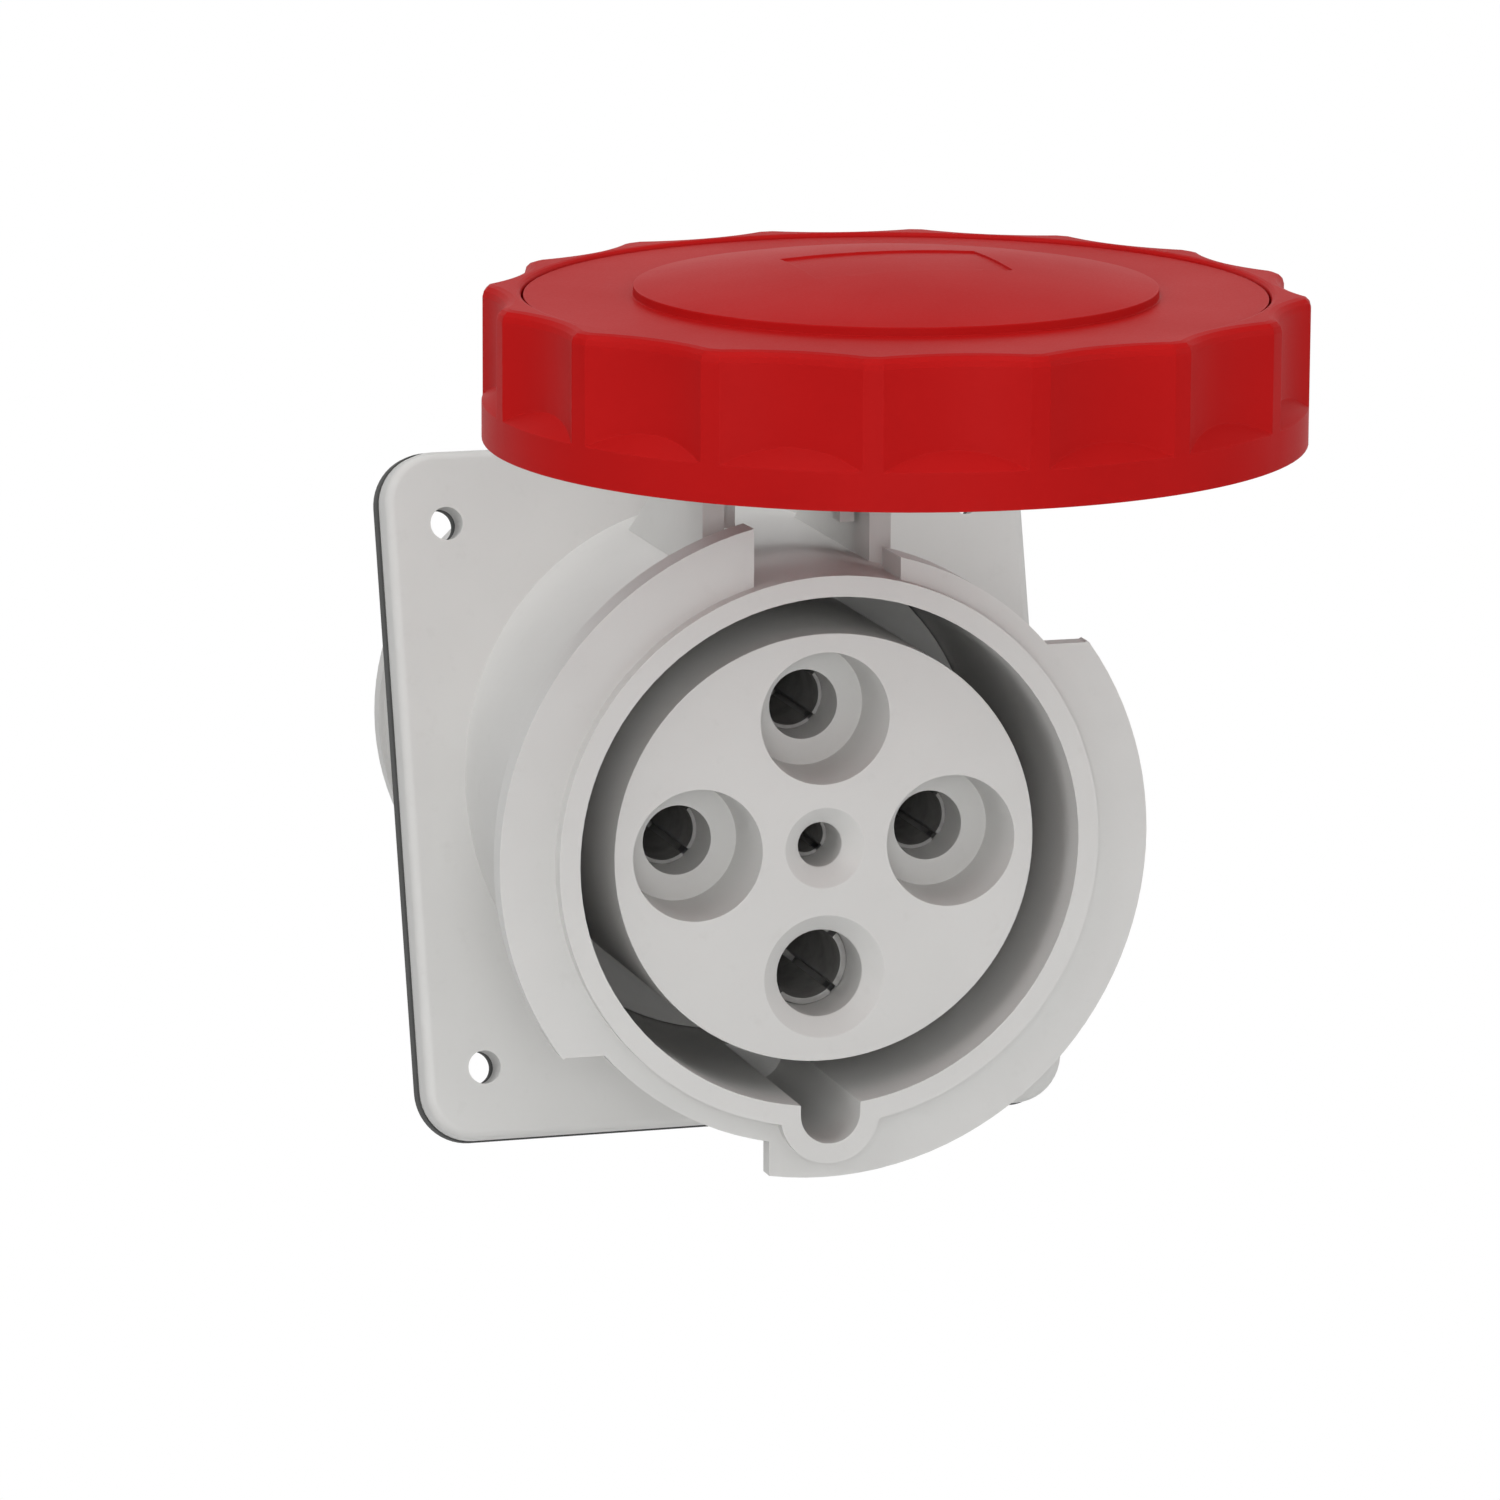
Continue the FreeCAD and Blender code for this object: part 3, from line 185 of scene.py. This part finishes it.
greyShell = {
    **mouldLook,
    "tone": (0.630, 0.627, 0.613, 1),
    "deepTone": (0.590, 0.586, 0.572, 1),
    "rubbedTone": (0.700, 0.696, 0.682, 1),
    "dustTone": (0.420, 0.410, 0.390, 1),
    "gloss": 0.46,
    "sheen": 0.45,  # how strongly it mirrors
}
redShell = {
    **mouldLook,
    "tone": (0.450, 0.0088, 0.0086, 1),
    "deepTone": (0.415, 0.0074, 0.0073, 1),
    "rubbedTone": (0.520, 0.030, 0.028, 1),
    "dustTone": (0.380, 0.016, 0.015, 1),
    "cloud": {"size": 0.040, "detail": 3.0, "rough": 0.55, "span": (0.32, 0.70)},
    "gloss": 0.44,
    "sheen": 0.03,
}


def mouldedPlastic(name, look):
    finish = Finish(name)
    cloud = finish.patches(look["cloud"])
    grain = finish.noise(look["grain"])
    speck = finish.patches(look["speck"])
    rub = finish.edges(look["edge"]) * finish.patches(look["scuff"])
    tone = finish.mix(cloud, look["tone"], look["deepTone"])
    tone = finish.mix(speck * look["dust"], tone, look["dustTone"])
    tone = finish.mix(rub * look["rub"], tone, look["rubbedTone"])
    rough = look["gloss"] + cloud * look["cloudRough"] - rub * look["rubSmooth"]
    rough = rough + (grain - finish.noiseMiddle) * look["grainRough"]
    plastic = finish.body(
        Base_Color=tone,
        Roughness=rough,
        Normal=finish.bumps(grain, look["grainDepth"], look["relief"]),
        IOR=look["ior"],
        Specular_IOR_Level=look["sheen"],
    )
    return finish.done(plastic)


# Rubber: fine pores, and a pale bloom in patches
rubberLook = {
    "bloomPatch": {"size": 0.012, "detail": 4.0, "rough": 0.6, "span": (0.42, 0.75)},
    "bloomShare": 0.6,
    "bloomRough": 0.10,
    "poreRough": 0.12,
    "poreDepth": 0.00004,
    "relief": 0.6,
    "ior": 1.52,
}
gasketRubber = {
    **rubberLook,
    "tone": (0.036, 0.037, 0.036, 1),
    "bloom": (0.066, 0.066, 0.063, 1),
    "gloss": 0.72,
    "pores": {"size": 0.0009, "detail": 3.0, "rough": 0.7},
}
sealRubber = {
    **rubberLook,
    "tone": (0.022, 0.022, 0.022, 1),
    "bloom": (0.050, 0.049, 0.047, 1),
    "gloss": 0.60,
    "pores": {"size": 0.0007, "detail": 3.0, "rough": 0.7},
}


def rubber(name, look):
    finish = Finish(name)
    bloom = finish.patches(look["bloomPatch"])
    pores = finish.noise(look["pores"])
    rough = look["gloss"] + bloom * look["bloomRough"]
    elastic = finish.body(
        Base_Color=finish.mix(bloom * look["bloomShare"], look["tone"], look["bloom"]),
        Roughness=rough + (pores - finish.noiseMiddle) * look["poreRough"],
        Normal=finish.bumps(pores, look["poreDepth"], look["relief"]),
        IOR=look["ior"],
    )
    return finish.done(elastic)


# Plated metal: dull patches, and fine lines that run along Y
metalLook = {
    "dullPatch": {"size": 0.004, "detail": 4.0, "rough": 0.6, "span": (0.40, 0.72)},
    "dullShare": 0.7,
    "dullRough": 0.16,
    "stretch": (1.0, 0.08, 1.0),
    "lineRough": 0.16,
    "lineDepth": 0.00001,
    "relief": 0.5,
}
contactMetal = {
    **metalLook,
    "tone": (0.38, 0.375, 0.365, 1),
    "dull": (0.26, 0.255, 0.245, 1),
    "gloss": 0.50,
    "metal": 0.55,  # how metallic the contacts are; this and the dark grey tones make the plating render darker than bare nickel
    "lines": {"size": 0.0006, "detail": 3.0, "rough": 0.7},
}
fastenerSteel = {
    **metalLook,
    "tone": (0.56, 0.57, 0.58, 1),
    "dull": (0.36, 0.35, 0.33, 1),
    "gloss": 0.32,
    "metal": 1.0,
    "lines": {"size": 0.0005, "detail": 3.0, "rough": 0.7},
}


def platedMetal(name, look):
    finish = Finish(name)
    dull = finish.patches(look["dullPatch"])
    stretched = {"Vector": finish.place, "Scale": look["stretch"]}
    lines = finish.noise(look["lines"], finish.node("ShaderNodeMapping", {}, stretched, "Vector"))
    rough = look["gloss"] + dull * look["dullRough"]
    plating = finish.body(
        Base_Color=finish.mix(dull * look["dullShare"], look["tone"], look["dull"]),
        Metallic=look["metal"],
        Roughness=rough + (lines - finish.noiseMiddle) * look["lineRough"],
        Normal=finish.bumps(lines, look["lineDepth"], look["relief"]),
    )
    return finish.done(plating)


finishes = {
    "grey_plastic": mouldedPlastic("greyShell", greyShell),
    "red_plastic": mouldedPlastic("redShell", redShell),
    "gasket_rubber": rubber("gasketRubber", gasketRubber),
    "seal_rubber": rubber("sealRubber", sealRubber),
    "contact_metal": platedMetal("contactMetal", contactMetal),
    "steel": platedMetal("fastenerSteel", fastenerSteel),
}
nodeSlots = {row["node"]: row["material_slot"] for row in frame["record"]["subparts"]}
print("finishes made:", len(finishes))


def wear(piece, slot):
    piece.data.materials.clear()
    piece.data.materials.append(finishes[slot])


def pick(piece):
    bpy.ops.object.select_all(action="DESELECT")
    piece.select_set(True)
    bpy.context.view_layer.objects.active = piece


# How edges are broken: lengths in metres, angles in degrees
cornerLook = {
    "merge": 0.000002,
    "flat": 0.3,
    "steps": 2,
    "sharp": 32,  # an edge that turns by more than this is broken
    "smooth": 34,
}


# A CAD node's shape with its edges broken, as a mould or a tumbler leaves them
def eased(node, name, body, ownLook):
    look = {**cornerLook, **ownLook}
    piece = bpy.data.objects.new(name, frame["nodes"][node].data.copy())
    bpy.context.scene.collection.objects.link(piece)
    pick(piece)
    bpy.ops.object.mode_set(mode="EDIT")
    bpy.ops.mesh.select_all(action="SELECT")
    bpy.ops.mesh.remove_doubles(threshold=look["merge"])
    bpy.ops.mesh.dissolve_limited(angle_limit=math.radians(look["flat"]))
    bpy.ops.object.mode_set(mode="OBJECT")
    bpy.ops.mesh.customdata_custom_splitnormals_clear()
    bpy.ops.object.shade_smooth()
    broken = piece.modifiers.new("easedEdges", "BEVEL")
    broken.width = look["edge"]
    broken.segments = look["steps"]
    broken.limit_method = "ANGLE"
    broken.angle_limit = math.radians(look["sharp"])
    broken.miter_outer = "MITER_ARC"
    bpy.ops.object.modifier_apply(modifier=broken.name)
    bpy.ops.object.shade_smooth_by_angle(angle=math.radians(look["smooth"]))
    even = piece.modifiers.new("evenFaces", "WEIGHTED_NORMAL")
    even.keep_sharp = True
    bpy.ops.object.modifier_apply(modifier=even.name)
    wear(piece, nodeSlots[node])
    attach(piece, body)
    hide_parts(node)


easedNodes = {
    "housing": ("barrelAndFlange", "base", {"edge": 0.00035}),
    "contact_carrier": ("contactInsert", "base", {"edge": 0.0003}),
    "contact_retainer": ("rearRetainer", "base", {"edge": 0.0003}),
    "panel_gasket": ("panelGasket", "base", {"edge": 0.0003}),
    "hinge_pin": ("hingePin", "base", {"edge": 0.0002}),
    "lock_ring": ("lockingRing", "ring", {"edge": 0.00022, "sharp": 27, "smooth": 14}),
    "lid_cap": ("lidCap", "lid", {"edge": 0.00025}),
    "hinge_arm": ("hingeArm", "lid", {"edge": 0.0003}),
    "lid_seal": ("lidSeal", "lid", {"edge": 0.0005}),
    "phase_contact_left": ("leftPhaseContact", "base", {"edge": 0.00015}),
    "phase_contact_top": ("topPhaseContact", "base", {"edge": 0.00015}),
    "phase_contact_right": ("rightPhaseContact", "base", {"edge": 0.00015}),
    "earth_contact": ("earthContact", "base", {"edge": 0.00015}),
    "pilot_contact": ("pilotContact", "base", {"edge": 0.0001}),
    "terminal_screws": ("clampScrews", "base", {"edge": 0.00015}),
    "pilot_screw": ("pilotClampScrew", "base", {"edge": 0.0001}),
    "carrier_screws": ("insertScrews", "base", {"edge": 0.00015}),
    "retainer_screws": ("retainerScrews", "base", {"edge": 0.00015}),
    "arm_screws": ("armScrews", "lid", {"edge": 0.00012}),
    "hinge_pin_clip": ("pinClip", "base", {"edge": 0.0001}),
    "lock_ring_clip": ("ringClip", "ring", {"edge": 0.00012}),
}
for node, (name, body, look) in easedNodes.items():
    eased(node, name, body, look)
    print("eased", node)
for node, shown in frame["nodes"].items():
    if node not in easedNodes:
        wear(shown, nodeSlots[node])
print("nodes dressed")


# A plain pale studio. The floor lies well under the flange, because the part hangs on a panel.
stageLook = {
    "floor": -0.45,
    "width": 12,
    "paper": (0.86, 0.86, 0.86, 1),
    "paperRough": 0.9,
    "tooth": {"size": 0.004, "detail": 3.0, "rough": 0.6},
    "toothDepth": 0.0001,
    "toothRelief": 0.2,
    "white": (1, 1, 1, 1),
    "sky": 0.70,
    "skyBehind": 0.0,
    "fade": (-0.30, 0.20),  # from the full sky in front to the dark one behind, along Y
}


def whiteRays(finish):  # 1 for the rays that meet a white background
    path = finish.node("ShaderNodeLightPath", {}, {}, "Is Camera Ray")
    return path + path.also("Is Glossy Ray") + path.also("Is Transmission Ray")


def makeStage(look):
    bpy.ops.mesh.primitive_plane_add(size=look["width"], location=(0, 0, look["floor"]))
    floor = bpy.context.object
    floor.name = "paleFloor"
    finish = Finish("paleFloor")
    tooth = finish.noise(look["tooth"])
    paper = finish.body(
        Base_Color=look["paper"],
        Roughness=look["paperRough"],
        Normal=finish.bumps(tooth, look["toothDepth"], look["toothRelief"]),
    )
    bright = finish.node("ShaderNodeEmission", {}, {"Color": look["white"], "Strength": 1.0}, "Emission")
    both = finish.node("ShaderNodeMixShader", {}, {0: whiteRays(finish), 1: paper, 2: bright})
    floor.data.materials.append(finish.done(both))


def makeWorld(look):
    world = bpy.data.worlds.new("paleStudio")
    bpy.context.scene.world = world
    finish = Finish("paleStudio", world)
    towards = finish.node("ShaderNodeSeparateXYZ", {}, {0: finish.place.also("Generated")}, "Y")
    glow = look["sky"] - towards.between(*look["fade"]) * (look["sky"] - look["skyBehind"])
    soft = finish.node("ShaderNodeBackground", {}, {"Color": look["white"], "Strength": glow})
    white = finish.node("ShaderNodeBackground", {}, {"Color": look["white"], "Strength": 1.0})
    both = finish.node("ShaderNodeMixShader", {}, {0: whiteRays(finish), 1: soft, 2: white})
    finish.done(both, "ShaderNodeOutputWorld")


makeStage(stageLook)
makeWorld(stageLook)

# Soft square lamps: places and sizes in metres, power in watts
lampLooks = {
    "overhead": {"place": (-0.3, -0.35, 1.4), "aim": (0, -0.08, 0), "size": 0.9, "power": 6.4},
    "front": {"place": (-0.4, -1.5, -0.15), "aim": (0, -0.06, 0), "size": 0.5, "power": 5.6},
    "left": {"place": (-1.6, -0.8, 0.6), "aim": (0, -0.06, 0), "size": 0.9, "power": 6.0},
    "side": {"place": (1.6, -0.9, 0.4), "aim": (0, -0.06, 0), "size": 1.0, "power": 4.8},
}


def makeLamp(name, look):
    data = bpy.data.lights.new(name, "AREA")
    data.size = look["size"]
    data.energy = look["power"]
    lamp = bpy.data.objects.new(name, data)
    towards = Vector(look["aim"]) - Vector(look["place"])
    lamp.location = look["place"]
    lamp.rotation_euler = towards.to_track_quat("-Z", "Y").to_euler()
    bpy.context.scene.collection.objects.link(lamp)


for name, look in lampLooks.items():
    makeLamp(name + "Lamp", look)
bpy.context.scene.view_settings.view_transform = "Standard"
print("stage lit")
